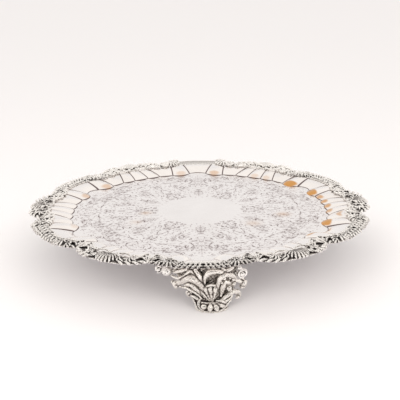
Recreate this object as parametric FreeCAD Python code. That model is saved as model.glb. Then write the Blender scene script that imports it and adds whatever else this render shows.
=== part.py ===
"""A round six-lobed silver salver on three cast feet, in millimetres.

The tray is one chased sheet: a flat centre, a shallow fluted border rising to a narrow flat rim, and an
edge of twelve lobes with a notch between each two. Twelve cast border sections are soldered on the rim,
six with a scallop shell and six with a beaded arc between two leaves. Three cast leaf-and-shell brackets,
each with two scroll bosses, are soldered underneath.

Frame: +Z up, origin on the table at the centre of the tray, one foot at -Y.
"""
import FreeCAD, Part
import math
import os

# Heights above the table
FLAT_TOP = 41.0          # upper face of the flat centre
RIM_RISE = 4.4           # from the flat centre up to the rim
SHEET = 1.8              # thickness of the silver sheet
BORDER_HEIGHT = 2.2      # cast border, above the rim, at its edges
RIM_TOP = FLAT_TOP + RIM_RISE

# The plan repeats every SECTOR degrees, and is the same on both sides of each shell
SECTORS = 6
SECTOR = 360.0 / SECTORS
NOTCH = 13.2             # degrees from a shell's centre to the point between two arcs
ARC_HALF = SECTOR / 2 - NOTCH
SHOULDER = 3.4           # 2 makes round lobes; more makes them flatter, with shoulders near the notches
LOBE_POINTS = 14         # points that each lobe's curve goes through, less one

# Outlines of twelve lobes: radius at a shell's crest, at the notch, and at the crest of the long arc
BORDER_OUTSIDE = (152.0, 142.2, 151.8)
TRAY_EDGE = (150.6, 141.0, 150.4)
BORDER_INSIDE = (135.2, 130.6, 139.6)
FLUTE_TOPS = (136.4, 131.8, 140.8)

# Flutes, as seen from a shell's centre: (angle at the foot, radius at the foot, angle at the rim) of each
# crease on one side, and the (angle, radius) of the rounded foot of the flute that follows it
CREASES = ((3.4, 115.8, 2.2), (10.3, 115.8, 6.6), (13.8, 114.2, NOTCH), (17.2, 115.2, 18.2),
           (25.3, 118.0, 23.4))
MIDDLE_FOOT = (0.0, 113.4)
FEET_OF_FLUTES = ((6.9, 113.4), (12.0, 114.5), (15.5, 114.4), (21.3, 112.2))
WIDE_FOOT = (SECTOR / 2, 121.8)

# Cast shells of the border
SHELL_RIBS = 9
SHELL_FAN = 60.0         # degrees from the middle rib to the outer one
SHELL_HINGE = 137.6      # radius, from the tray's centre, of the point the ribs fan out from
SHELL_REACH = 12.6       # length of the middle rib
RIB_ROOT = 0.7
RIB_TIP = 1.5
RIB_LIFT = 2.0           # height of a rib's axis above the rim
HINGE_RADIUS = 2.2

# Leaves and bead row of the long arcs
LEAF_ANGLE = 10.8        # degrees from the arc's crest
LEAF_RADIUS = 141.5
LEAF_LENGTH = 15.0
LEAF_WIDTH = 8.0
BEADS = 19
BEAD_RADIUS = 1.25
BEAD_INSET = 1.7         # from the border's outline to the bead row

# Feet. Each section is (height, offset along the tray's edge, half width, radius of its front from the
# tray's axis, how far its ends lie behind its middle, thickness)
FOOT_ANGLES = (0.0, 120.0, 240.0)
FOOT_SECTIONS = (
    (0.0, 4.5, 9.5, 126.0, 4.5, 8.0),
    (3.0, 4.7, 13.0, 126.4, 6.0, 5.0),
    (9.0, 4.5, 14.5, 124.2, 6.0, 4.0),
    (16.0, 3.6, 20.0, 123.6, 7.0, 3.6),
    (24.0, 2.0, 26.0, 125.0, 8.0, 3.4),
    (32.0, 0.6, 29.0, 127.0, 8.5, 3.4),
    (44.0, 0.0, 32.0, 129.0, 8.0, 3.4),
)
TOE_RIBS = 7
TOE_FAN = 40.0           # degrees from upright to the outer rib of the foot's shell
TOE_HEIGHT = 5.0
TOE_REACH = 15.0
TOE_RIB_ROOT = 1.2
TOE_RIB_TIP = 2.0
# Leaf fingers on one side of the foot: (x, height) where each starts and ends, as drawn on the right
LEAF_FINGERS = (((5.0, 21.0), (15.0, 15.5)), ((5.0, 24.5), (20.5, 21.5)), ((4.5, 28.0), (23.0, 28.0)),
                ((3.0, 31.0), (17.0, 35.0)))
FINGER_ROOT = 1.3
FINGER_TIP = 2.2
BOSS_RADIUS = 4.4
BOSS_PLACES = {"left": (-31.0, -123.4, 34.2), "right": (31.0, -123.4, 33.2)}
BOSS_ARM = 2.0           # radius of the short arm between a boss and its bracket


def polar(radius, degrees, height=0.0):
    angle = math.radians(degrees)
    return FreeCAD.Vector(radius * math.cos(angle), radius * math.sin(angle), height)


def lobe_radius(offset, half, end, crest):
    """Radius of one lobe of an outline, at an angle from its crest; half is the angle at its ends."""
    return crest - (crest - end) * abs(offset / half) ** SHOULDER


def outline_radius(outline, offset):
    """Radius of a twelve-lobe outline at an angle from a shell's centre, up to half a sector away."""
    shell, notch, crest = outline
    offset = abs(offset)
    if offset <= NOTCH:
        return lobe_radius(offset, NOTCH, notch, shell)
    return lobe_radius(SECTOR / 2 - offset, ARC_HALF, notch, crest)


def lobe_edge(middle, half, end, crest, height):
    """One lobe of an outline as a smooth curve, from one notch to the next."""
    points = []
    for k in range(LOBE_POINTS + 1):
        offset = half * (2 * k / LOBE_POINTS - 1)
        points.append(polar(lobe_radius(offset, half, end, crest), middle + offset, height))
    curve = Part.BSplineCurve()
    curve.interpolate(points)
    return curve.toShape()


def arc(first, middle, last):
    return Part.Arc(first, middle, last).toShape()


def outline_edges(outline, height):
    """The twelve lobes of an outline, from the notch before the first shell."""
    shell, notch, crest = outline
    edges = []
    for k in range(SECTORS):
        edges.append(lobe_edge(k * SECTOR, NOTCH, notch, shell, height))
        edges.append(lobe_edge((k + 0.5) * SECTOR, ARC_HALF, notch, crest, height))
    return edges


def flute_edges(height_foot, height_rim):
    """Matching arcs round the foot and the rim of the fluted band, one pair for each flute."""
    feet, rims = [], []
    for k in range(SECTORS):
        middle = k * SECTOR
        before = [(-a, r, -t) for a, r, t in reversed(CREASES)]
        angle, radius, rim_angle = CREASES[-1]
        next_sector = (SECTOR - angle, radius, SECTOR - rim_angle)
        stations = before + list(CREASES) + [next_sector]
        tips = [(-a, r) for a, r in reversed(FEET_OF_FLUTES)]
        tips += [MIDDLE_FOOT] + list(FEET_OF_FLUTES) + [WIDE_FOOT]
        for (a0, r0, t0), (a1, r1, t1), (tip, tip_radius) in zip(stations, stations[1:], tips):
            foot = [polar(r0, middle + a0, height_foot), polar(tip_radius, middle + tip, height_foot),
                    polar(r1, middle + a1, height_foot)]
            rim = []
            for t in (t0, (t0 + t1) / 2, t1):
                offset = t if t <= SECTOR / 2 else SECTOR - t
                rim.append(polar(outline_radius(FLUTE_TOPS, offset), middle + t, height_rim))
            feet.append(arc(*foot))
            rims.append(arc(*rim))
    return feet, rims


def sheet_faces(drop):
    """One side of the tray: flat centre, flutes and rim, lowered by drop."""
    feet, rims = flute_edges(FLAT_TOP - drop, RIM_TOP - drop)
    faces = [Part.Face(Part.Wire(feet))]
    faces += [Part.makeRuledSurface(foot, rim) for foot, rim in zip(feet, rims)]
    hole = Part.Wire(rims)
    hole.reverse()
    return faces + [Part.Face([Part.Wire(outline_edges(TRAY_EDGE, RIM_TOP - drop)), hole])]


def make_tray():
    """The chased sheet, one closed solid of even thickness."""
    top = sheet_faces(0.0)
    bottom = sheet_faces(SHEET)
    edge = [e.extrude(FreeCAD.Vector(0, 0, -SHEET)) for e in outline_edges(TRAY_EDGE, RIM_TOP)]
    shell = Part.Shell(top + bottom + edge)
    shell.sewShape()
    solid = Part.Solid(shell)
    if solid.Volume < 0:
        solid.reverse()
    return solid


def border_blank(middle, half, crest):
    """A flat border section between two notches, with softened upper edges; crest picks its radii."""
    outer = lobe_edge(middle, half, BORDER_OUTSIDE[1], BORDER_OUTSIDE[crest], RIM_TOP)
    inner = lobe_edge(middle, half, BORDER_INSIDE[1], BORDER_INSIDE[crest], RIM_TOP)
    ends = [Part.makeLine(polar(BORDER_OUTSIDE[1], middle + side * half, RIM_TOP),
                          polar(BORDER_INSIDE[1], middle + side * half, RIM_TOP)) for side in (-1, 1)]
    wire = Part.Wire(Part.__sortEdges__([outer, inner] + ends))
    blank = Part.Face(wire).extrude(FreeCAD.Vector(0, 0, BORDER_HEIGHT))
    rims = [e for e in blank.Edges if e.Curve.TypeId != "Part::GeomLine"
            and min(v.Z for v in e.Vertexes) > RIM_TOP + BORDER_HEIGHT - 0.01]
    return blank.makeFillet(BORDER_HEIGHT * 0.45, rims)


def tapered_bar(start, end, root, tip):
    """A cone between two points with a ball on its wide end."""
    run = end - start
    return [Part.makeCone(root, tip, run.Length, start, run), Part.makeSphere(tip, end)]


def trimmed_above_rim(solid):
    """What of a solid lies above the rim's upper face."""
    below = Part.makeBox(400, 400, 60, FreeCAD.Vector(-200, -200, RIM_TOP - 60))
    return solid.cut(below)


def make_border_shell():
    """The section at angle 0: a scallop shell between two notches."""
    section = border_blank(0.0, NOTCH, 0)
    hinge = FreeCAD.Vector(SHELL_HINGE, 0, RIM_TOP + RIB_LIFT)
    pieces = [Part.makeSphere(HINGE_RADIUS, hinge)]
    for k in range(SHELL_RIBS):
        turn = math.radians(SHELL_FAN * (2 * k / (SHELL_RIBS - 1) - 1))
        direction = FreeCAD.Vector(math.cos(turn), math.sin(turn), 0)
        length = SHELL_REACH * (0.55 + 0.45 * math.cos(turn))
        pieces += tapered_bar(hinge, hinge + direction * length, RIB_ROOT, RIB_TIP)
    section = section.fuse([trimmed_above_rim(p) for p in pieces])
    return section.removeSplitter()


def make_leaf(side):
    """A raised leaf lying across the border near one end of a long arc: two arcs in plan, rounded on top."""
    middle = SECTOR / 2 + side * LEAF_ANGLE
    centre = polar(LEAF_RADIUS, middle, RIM_TOP)
    along = polar(1.0, middle - side * 38.0)
    across = FreeCAD.Vector(-along.y, along.x, 0)
    tips = [centre - along * (LEAF_LENGTH / 2), centre + along * (LEAF_LENGTH / 2)]
    sides = [centre + across * (LEAF_WIDTH / 2), centre - across * (LEAF_WIDTH / 2)]
    face = Part.Face(Part.Wire([arc(tips[0], sides[0], tips[1]), arc(tips[1], sides[1], tips[0])]))
    leaf = face.extrude(FreeCAD.Vector(0, 0, BORDER_HEIGHT + 1.1))
    upper = [e for e in leaf.Edges if min(v.Z for v in e.Vertexes) > RIM_TOP + BORDER_HEIGHT]
    return leaf.makeFillet(0.9, upper)


def make_border_arc():
    """The section from one notch to the next: a beaded arc with a leaf near each end."""
    section = border_blank(SECTOR / 2, ARC_HALF, 2)
    pieces = [make_leaf(-1), make_leaf(1)]
    for k in range(BEADS):
        offset = 8.6 * (2 * k / (BEADS - 1) - 1)
        radius = lobe_radius(offset, ARC_HALF, BORDER_OUTSIDE[1], BORDER_OUTSIDE[2]) - BEAD_INSET
        place = polar(radius, SECTOR / 2 + offset, RIM_TOP + BORDER_HEIGHT - 0.2)
        pieces.append(Part.makeSphere(BEAD_RADIUS, place))
    return section.fuse(pieces).removeSplitter()


def foot_section(height, offset, half, front, sag, thick):
    """A crescent across the foot: front arc, back arc and two short ends."""
    def at(x, back):
        return FreeCAD.Vector(offset + x, -front + back, height)

    inner = half - 0.35 * thick
    corners = [at(-half, sag), at(half, sag), at(inner, sag + thick * 0.8), at(-inner, sag + thick * 0.8)]
    edges = [arc(corners[0], at(0, 0), corners[1]), Part.makeLine(corners[1], corners[2]),
             arc(corners[2], at(0, thick), corners[3]), Part.makeLine(corners[3], corners[0])]
    return Part.Wire(edges)


def foot_front(x, height):
    """The point of the bracket's front face at a height, x to the right of its centre line there."""
    heights = [s[0] for s in FOOT_SECTIONS]
    k = max(i for i in range(len(heights) - 1) if heights[i] <= height)
    share = (height - heights[k]) / (heights[k + 1] - heights[k])
    low, high = FOOT_SECTIONS[k], FOOT_SECTIONS[k + 1]
    offset, half, front, sag = (low[i] + (high[i] - low[i]) * share for i in (1, 2, 3, 4))
    return FreeCAD.Vector(offset + x, -front + sag * (x / half) ** 2, height)


def foot_relief():
    """Raised work on the bracket's front: a small fanned shell at the toe and leaf fingers on each side."""
    bars = []
    for k in range(TOE_RIBS):
        turn = math.radians(TOE_FAN * (2 * k / (TOE_RIBS - 1) - 1))
        end = foot_front(TOE_REACH * math.sin(turn), TOE_HEIGHT + TOE_REACH * math.cos(turn))
        bars += tapered_bar(foot_front(0.0, TOE_HEIGHT), end, TOE_RIB_ROOT, TOE_RIB_TIP)
    for side in (-1, 1):
        for start, end in LEAF_FINGERS:
            ends = [foot_front(side * x, z) for x, z in (start, end)]
            bars += tapered_bar(ends[0], ends[1], FINGER_ROOT, FINGER_TIP)
    return bars


def make_foot(tray):
    """The bracket at -Y, cut off where it meets the underside of the tray."""
    bracket = Part.makeLoft([foot_section(*s) for s in FOOT_SECTIONS], True, False)
    bracket = bracket.fuse(foot_relief())
    return max(bracket.cut(tray).Solids, key=lambda s: s.Volume)


def make_boss(side, tray, foot):
    """A round scroll eye beside the bracket's upper corner, with the short arm that joins them."""
    place = FreeCAD.Vector(*BOSS_PLACES[side])
    inward = FreeCAD.Vector(-math.copysign(1.0, place.x), 0, 0)
    arm = Part.makeCylinder(BOSS_ARM, 6.0, place, inward)
    boss = Part.makeSphere(BOSS_RADIUS, place).fuse(arm)
    return max(boss.cut(tray).cut(foot).Solids, key=lambda s: s.Volume)


def turned(shape, degrees):
    copy = shape.copy()
    copy.rotate(FreeCAD.Vector(0, 0, 0), FreeCAD.Vector(0, 0, 1), degrees)
    return copy


def write(name, shape):
    solids = shape.Solids
    good = shape.isValid() and all(s.Volume > 0 for s in solids)
    box = shape.optimalBoundingBox(False, False)
    print(f"{name}: {len(solids)} solid(s), {'valid' if good else 'NOT VALID'}, {shape.Volume:.0f} mm3, "
          f"z {box.ZMin:.2f} to {box.ZMax:.2f}")
    shape.exportStep(f"parts/{name}.step")


def main():
    os.makedirs("parts", exist_ok=True)
    tray = make_tray()
    write("tray", tray)
    shell = make_border_shell()
    long_arc = make_border_arc()
    for k in range(SECTORS):
        write(f"border_shell_{k + 1}", turned(shell, k * SECTOR))
        write(f"border_arc_{k + 1}", turned(long_arc, k * SECTOR))
    foot = make_foot(tray)
    bosses = {side: make_boss(side, tray, foot) for side in BOSS_PLACES}
    for k, angle in enumerate(FOOT_ANGLES):
        write(f"foot_{k + 1}", turned(foot, angle))
        for side, boss in bosses.items():
            write(f"foot_{k + 1}_boss_{side}", turned(boss, angle))


main()
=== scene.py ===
"""The silver salver's looks, in metres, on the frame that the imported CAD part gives.

The tray, its twelve cast border sections, the three feet and their bosses are all rebuilt in finer mesh. The
plan repeats six times round and is the same on both sides of each shell, so one half sector of the tray is
worked out and then mirrored and turned. Castings are made of overlapping closed shapes, fused on a fine grid.
"""
import math

import bpy
import numpy as np
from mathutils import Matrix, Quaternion, Vector


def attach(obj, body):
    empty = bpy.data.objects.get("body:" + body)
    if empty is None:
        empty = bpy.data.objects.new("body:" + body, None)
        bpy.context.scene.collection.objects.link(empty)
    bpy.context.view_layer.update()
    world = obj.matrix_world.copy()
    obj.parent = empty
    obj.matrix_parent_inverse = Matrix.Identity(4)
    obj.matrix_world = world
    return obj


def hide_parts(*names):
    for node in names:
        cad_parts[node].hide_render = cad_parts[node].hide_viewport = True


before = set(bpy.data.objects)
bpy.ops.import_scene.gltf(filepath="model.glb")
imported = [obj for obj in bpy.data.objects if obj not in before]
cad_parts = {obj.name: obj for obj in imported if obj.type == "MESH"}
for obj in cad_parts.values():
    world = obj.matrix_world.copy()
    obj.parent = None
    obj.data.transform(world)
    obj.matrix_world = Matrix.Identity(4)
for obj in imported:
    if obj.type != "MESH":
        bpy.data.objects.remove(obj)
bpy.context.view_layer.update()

MM = 0.001

# Plan, in mm and degrees
SECTORS = 6
SECTOR = 360.0 / SECTORS
HALF = SECTOR / 2
NOTCH = 13.2             # degrees from a shell's centre to the point between two arcs
ARC_HALF = HALF - NOTCH
SHOULDER = 3.4           # 2 makes round lobes; more makes them flatter, with shoulders near the notches
FLAT_TOP = 41.0
RIM_TOP = 45.4
SHEET = 1.8
RIM_ROUND = 0.4
# Radii of twelve-lobe outlines at a shell's crest, at the notch and at the long arc's crest
BORDER_OUTSIDE = (152.0, 142.2, 151.8)
SHEET_EDGE = (145.0, 136.5, 143.0)
BORDER_INSIDE = (135.2, 130.6, 138.0)
FOOT_ARC = (138.0, 148.6)   # crest radii, inside and outside, of the long arcs over the feet
FOOT_ARC_SHOULDER = 2.1
FLUTE_TOPS = (136.4, 131.8, 140.8)
# Creases between flutes: (angle at the foot, radius at the foot, angle at the rim), and for each flute
# between two creases the radius of its rounded foot and how far it bulges
CREASES = ((-3.7, 115.2, -2.2), (3.7, 115.2, 2.2), (10.3, 116.3, 6.6), (17.1, 115.6, 18.2),
           (26.0, 118.6, 23.4), (34.0, 118.6, 36.6))
FLUTES = ((113.2, 1.7), (113.2, 1.6), (114.2, 1.3), (111.8, 1.7), (121.8, 0.6))

FLUTE_RISE = 1.6         # how steeply a flute leaves the flat
# Dark lines in the creases between flutes and at their feet, partly tarnish and partly painted shade
CREASE_START = 0.9       # share of a flute's half width where its crease darkens, and how soon it is dark
CREASE_FADE = 0.09
CREASE_MARK = 0.85
# Creases are faint round one direction, where their painted shade is eased as light falls on them: degrees,
# spread in degrees, and the share that is gone
FAINT_CREASES = (-90.0, 24.0, 0.72)

# Copper-coloured spots at the feet of the flutes, painted reflections of a warm light: place and size along a
# flute, and width across it
SPOT_CENTRE = 0.13
SPOT_LENGTH = 0.13
SPOT_WIDTH = 0.62
SPOT_GROWTH = 0.7
# Half the angle at the foot of the wide flutes, which lie at these places in a sector, and of the narrow ones
WIDE_FLUTES = (21.5, 38.5)
SPOT_WIDE = 4.4
SPOT_NARROW = 3.5
# How strong the painted reflections are by their flute's angle, strongest round one side of the tray; over 1
# they are larger instead
SPOTS = {38.5: 2.2, 21.5: 2.3, 13.7: 0.8, 7.0: 0.9, 0.0: 0.9, -7.0: 0.75, -21.5: 2.6, -38.5: 0.9, 53.0: 0.3,
         60.0: 0.3, 81.5: 0.5, 98.5: 0.35, 141.5: 0.5, 158.5: 0.5, 201.5: 0.25}
# The same painted reflections halfway up, and faint copper-coloured stains on the flat as (x, y, radius,
# strength)
HIGH_SPOT_CENTRE = 0.55
HIGH_SPOTS = {-15.0: 0.7}
STAINS = ((-48.5, -6.7, 4.5, 0.35), (74.0, -15.9, 6.0, 0.35), (45.4, -38.3, 6.0, 0.3),
          (-55.8, -30.5, 5.0, 0.2))

# Mesh steps
FLAT_STEP = 0.5
FLUTE_ROWS = 36

# Engraving map
PLAIN_CENTRE = 35.5      # radius inside which nothing is engraved
PLAIN_MARGIN = 1.2       # width over which the engraving fades out before the flutes
CUT_DEPTH = 0.16
GRAIN = 0.2              # mm between samples
MAP_X = (30.0, 124.0)
MAP_Y = (-4.0, 66.0)
CUT_STEP = 0.12          # mm between points of a cut
SPINE_STEP = 0.25
FINE = 0.55              # half width of a fine cut and of a bold one
BOLD = 0.85
STROKE = 3.2             # length, half width and bend of the short cuts between the leaves
STROKE_WIDTH = 0.55
STROKE_BEND = 110.0
STROKE_DEPTH = 0.84      # their depth at a shell, and how much less it is at a long arc
STROKE_EASE = 0.38
LIGHT_CUT = 0.1          # depth of a cut where the tool was eased, in a fine line and in a bold one
STEADY_CUT = 0.28
ACCENT = 1.7             # mm between a cut's swellings
PRESS_RANGE = 2.6        # a swelling's depth is a random share of the range less the rest, from 0 to 1
PRESS_REST = 1.7
WINDING = 7.0            # how quickly a scroll's ends wind up

# Castings
BORDER_VOXEL = 0.22
FOOT_VOXEL = 0.3
# About half a border section's length and its width: its curves bend evenly in these mm, not in shares
BAND_LENGTH = 40.0
BAND_WIDTH = 12.0
# Painted shade: how much darker a border section's outward faces are than its top, and lighter its inward
# ones
BORDER_OUTWARD_SHADE = {"shell": 0.19, "arc": 0.32, "foot_arc": 0.38}
RECESS_REACH = 1.6       # mm over which a casting's surface is compared with its surroundings
RECESS_EXTREMES = (4, 96)  # percentiles of depth that count as ridge and hollow
CHASING_GRAIN = 1.5      # mm between grains of the chased surface, which are the sum of so many waves
CHASING_DEPTH = 0.07
CHASING_WAVES = 14
UP = (0, 0, 1)
FOOT_OUT = (0.0, -1.0, 0.25)
TOE = 6.8                # x of the toe's middle
BACK_SHELLS = (1, 2)     # the sections behind, which are brighter as a painted highlight, and the plain arc between them
BACK_ARC = 1
FEET = 3
BOSSES = {"left": (-27.5, -124.0, 34.3), "right": (30.8, -124.5, 31.3)}  # centres at the first foot

# Colours of the silver by mark, and of the worn places and the copper-coloured painted reflections and stains
# Dark by mark in hollows and creases is partly tarnish and partly painted shade
SHEET_TONES = ((0.0, (0.985, 0.955, 0.945)), (0.14, (0.94, 0.895, 0.89)), (0.5, (0.22, 0.165, 0.165)),
               (1.0, (0.05, 0.03, 0.03)))
BORDER_TONES = ((0.24, (0.96, 0.94, 0.92)), (0.46, (0.5, 0.47, 0.45)), (0.7, (0.05, 0.04, 0.04)))
# Lighter tones for the back sections: a painted highlight
BACK_HIGHLIGHT_TONES = ((0.5, (0.985, 0.965, 0.945)), (0.8, (0.62, 0.59, 0.57)), (0.97, (0.12, 0.10, 0.10)))
BOSS_TONES = ((0.6, (1.0, 0.985, 0.96)), (0.72, (0.4, 0.36, 0.33)), (0.86, (0.03, 0.02, 0.02)))
FOOT_TONES = ((0.4, (0.97, 0.94, 0.895)), (0.58, (0.56, 0.515, 0.475)), (0.86, (0.085, 0.07, 0.065)))
WORN = (0.86, 0.855, 0.85)
WORN_SCALE = 38.0
COPPER_REFLECTION_AND_STAIN = (0.66, 0.34, 0.115)
HOLLOW_ROUGHNESS = 0.5
BUMP_HEIGHT = 0.0002

# Camera and light
CAMERA_DISTANCE = 0.7206
CAMERA_AZIMUTH = -0.8
CAMERA_ELEVATION = 18.64
CAMERA_ROLL = -0.71
LENS = 71.55
SHIFT = (0.0011, 0.0243)
FLOOR_COLOUR = (0.858, 0.85, 0.872)
FLOOR_SIZE = 12.0        # half its side
WALL_HEIGHT = 8.0
# The studio's light by direction, which the silver reflects: plain backdrop, and patches over it as
# (direction, (full, gone) degrees, colour)
BACKDROP = (1.02, 0.98, 0.93)
ROOM = (0.06, 0.055, 0.05)
CARD = (2.4, 2.35, 2.3)
STUDIO = (
    ((0, -1, 0.0), (27, 43), ROOM),
    ((0, 0.948, 0.319), (9, 16), (0.92, 0.90, 0.885)),
    ((-0.5, -0.5, 0.7), (9, 13), CARD),
    ((0.6, -0.45, 0.6), (8, 12), CARD),
    ((0.0, -0.9, 0.35), (6, 9), CARD),
)
# Lamps for the floor, which the silver doesn't reflect: the sun's strength and width, and area lamps as
# (name, place, size, power)
SUN = 0.02
SUN_ANGLE = 120.0
LAMP_COLOUR = (1.0, 0.95, 0.89)
FILLS = (
    ("key", (0.0, -1.0, 0.8), (1.6, 0.4), 5.6),
    ("low_key", (0.0, -1.1, 0.5), (1.6, 0.4), 2.75),
)


def unit(degrees):
    return np.array((math.cos(math.radians(degrees)), math.sin(math.radians(degrees))))


def spot(radius, degrees):
    return unit(degrees) * radius


def bent_line(start, heading, turns, step):
    """Points along a line that turns by the given degrees per mm at each step."""
    angle = np.radians(heading + np.cumsum(turns) * step)
    steps = np.stack((np.cos(angle), np.sin(angle)), 1) * step
    return np.vstack(((0.0, 0.0), np.cumsum(steps, 0))) + np.asarray(start)


def normals(points):
    run = np.gradient(points, axis=0)
    run /= np.linalg.norm(run, axis=1)[:, None] + 1e-9
    return np.stack((-run[:, 1], run[:, 0]), 1)


def headings(points):
    run = np.gradient(points, axis=0)
    return np.degrees(np.arctan2(run[:, 1], run[:, 0]))


def oval(centre, reach, count):
    """A closed line round a centre, with its reach along x and y."""
    t = np.linspace(0, 2 * math.pi, count)
    return centre + np.stack((np.cos(t), np.sin(t)), 1) * reach


class Engraving:
    """Fine lines cut in half a sector of the tray. Each line is dense points with a width and a depth."""

    def __init__(self):
        self.cuts = []
        self.random = np.random.default_rng(11)

    def line(self, points, width=FINE, depth=1.0):
        """A cut that swells and thins along its length, as the tool was leaned on and eased."""
        points = np.asarray(points, float)
        run = np.linalg.norm(np.diff(points, axis=0), axis=1)
        along = np.concatenate(((0.0,), np.cumsum(run)))
        wanted = np.arange(0.0, along[-1] + CUT_STEP, CUT_STEP)
        dense = np.stack([np.interp(wanted, along, points[:, k]) for k in (0, 1)], 1)
        stops = np.arange(0.0, along[-1] + 2 * ACCENT, ACCENT)
        press = np.clip(PRESS_RANGE * self.random.random(len(stops)) - PRESS_REST, 0, 1)
        press = np.interp(wanted, stops, press)
        least = STEADY_CUT if width == BOLD else LIGHT_CUT
        self.cuts.append((dense, width, depth * (least + (1 - least) * press)))

    def clear(self, centre, radius):
        """Wipes earlier lines from a disc, so that what is cut there next lies on top."""
        kept = []
        for points, width, depth in self.cuts:
            outside = np.hypot(points[:, 0] - centre[0], points[:, 1] - centre[1]) > radius
            kept.append((points[outside], width, depth[outside]))
        self.cuts = kept

    def lobe(self, start, heading, size, bend, vein=True):
        """One leaf lobe: a bent drop with a pointed tip and a short vein."""
        s = np.linspace(0.0, 1.0, 16)
        spine = bent_line(start, heading, np.full(15, bend / size), size / 15)
        half = 0.27 * size * np.sin(math.pi * s ** 0.75) ** 0.85
        side = normals(spine)
        self.line(spine + side * half[:, None], FINE)
        self.line(spine - side * half[:, None], FINE)
        if vein:
            self.line(spine[2:9], FINE, 0.8)

    def scroll(self, start, heading, length, mid, first, last, leaves=5, side=1):
        """A scroll whose ends wind up, with a second line inside it and leaf lobes along one side."""
        s = np.arange(0.0, length, SPINE_STEP) / length
        turns = mid + first * np.exp(-s * WINDING) + last * np.exp(-(1.0 - s) * WINDING)
        spine = bent_line(start, heading, turns, SPINE_STEP)
        self.line(spine, BOLD)
        swell = np.sin(np.linspace(0.0, math.pi, len(spine)))[:, None]
        self.line(spine - side * normals(spine) * swell * 1.5, FINE)
        towards = headings(spine)
        for k in range(leaves):
            i = int((0.2 + 0.6 * k / max(leaves - 1, 1)) * (len(spine) - 1))
            size = 3.0 + 2.8 * math.sin(math.pi * (k + 0.7) / (leaves + 0.4))
            self.lobe(spine[i], towards[i] + side * 55.0, size, -side * 60.0)

    def leaf(self, start, heading, length, bend, lobes=4):
        """A whole leaf: midrib, paired lobes that get smaller towards the tip, and a pointed end."""
        turns = np.full(int(length / SPINE_STEP), bend / length)
        spine = bent_line(start, heading, turns, SPINE_STEP)
        self.line(spine, BOLD)
        towards = headings(spine)
        for k in range(lobes):
            i = int((0.08 + 0.74 * k / lobes) * (len(spine) - 1))
            size = length * (0.38 - 0.2 * k / lobes)
            for side in (-1, 1):
                self.lobe(spine[i], towards[i] + side * 50.0, size, -side * 50.0, size > 3.0)
        self.lobe(spine[int(0.78 * len(spine))], towards[-1], length * 0.24, 0.0)

    def flower(self, centre, radius, petals=5, turn=0.0):
        """A flower seen from above: two rings, and round them dented petals with four veins each."""
        centre = np.asarray(centre)
        self.clear(centre, radius * 1.05)
        for ring, width in ((0.16, BOLD), (0.29, FINE)):
            self.line(oval(centre, ring * radius, 40), width)
        t = np.linspace(-1, 1, 41)
        for k in range(petals):
            middle = math.pi * 2 * k / petals + math.radians(turn)
            dent = 0.13 * np.exp(-(t / 0.16) ** 2)
            reach = radius * (0.34 + 0.66 * (1 - np.abs(t) ** 3.2)) * (1 - dent)
            ring = middle + t * math.pi / petals * 0.96
            self.line(centre + np.stack((reach * np.cos(ring), reach * np.sin(ring)), 1), BOLD)
            for vein in (-0.45, -0.15, 0.15, 0.45):
                way = unit(math.degrees(middle + vein * math.pi / petals))
                run = np.linspace(0.36, 0.7 - abs(vein) * 0.3, 10) * radius
                self.line(centre + np.outer(run, way), FINE, 0.8)

    def trellis(self, centre, size, pitch):
        """Crossed lines inside an oval with a double edge."""
        centre, size = np.asarray(centre), np.asarray(size)
        reach = float(max(size))
        run = np.arange(-reach, reach, CUT_STEP)
        for angle in (40.0, -40.0):
            way, across = unit(angle), unit(angle + 90.0)
            for k in range(-int(reach / pitch), int(reach / pitch) + 1):
                points = across * k * pitch + np.outer(run, way)
                points = points[((points / size) ** 2).sum(1) < 1.0]
                if len(points) > 4:
                    self.line(points + centre, FINE, 0.85)
        for grow, width in ((0.0, BOLD), (1.3, FINE)):
            self.line(oval(centre, size + grow, 160), width)

    def depth_map(self):
        """The cuts as an array of depths from 0 to 1, GRAIN apart."""
        nx = int((MAP_X[1] - MAP_X[0]) / GRAIN)
        ny = int((MAP_Y[1] - MAP_Y[0]) / GRAIN)
        depth = np.zeros((nx, ny), np.float32)
        for points, width, strength in self.cuts:
            x = (points[:, 0] - MAP_X[0]) / GRAIN
            y = (points[:, 1] - MAP_Y[0]) / GRAIN
            reach = int(math.ceil(width / GRAIN))
            for i in range(-reach, reach + 1):
                for j in range(-reach, reach + 1):
                    column = np.round(x).astype(int) + i
                    row = np.round(y).astype(int) + j
                    value = np.clip(1.0 - np.hypot(column - x, row - y) * GRAIN / width, 0, 1) * strength
                    keep = (column >= 0) & (column < nx) & (row >= 0) & (row < ny) & (value > 0)
                    np.maximum.at(depth, (column[keep], row[keep]), value[keep])
        return depth

    def fill(self, inner, outer, gap, seed=5):
        """Sprigs in the places still empty, fewer of them at the long arcs."""
        random = np.random.default_rng(seed)
        for radius in np.arange(inner, outer, gap):
            count = max(int(math.radians(HALF) * radius / gap), 1)
            for k in range(count):
                angle = HALF * (k + 0.5 + random.uniform(-0.3, 0.3)) / count
                centre = spot(radius + random.uniform(-1.0, 1.0), angle)
                near = sum((np.hypot(p[:, 0] - centre[0], p[:, 1] - centre[1]) < gap * 0.42).sum()
                           for p, _, _ in self.cuts if len(p))
                if near == 0 and random.uniform(0, 1) > 0.6 * angle / HALF:
                    self.sprig(centre, random.uniform(0, 360), gap * random.uniform(0.75, 1.0))

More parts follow.
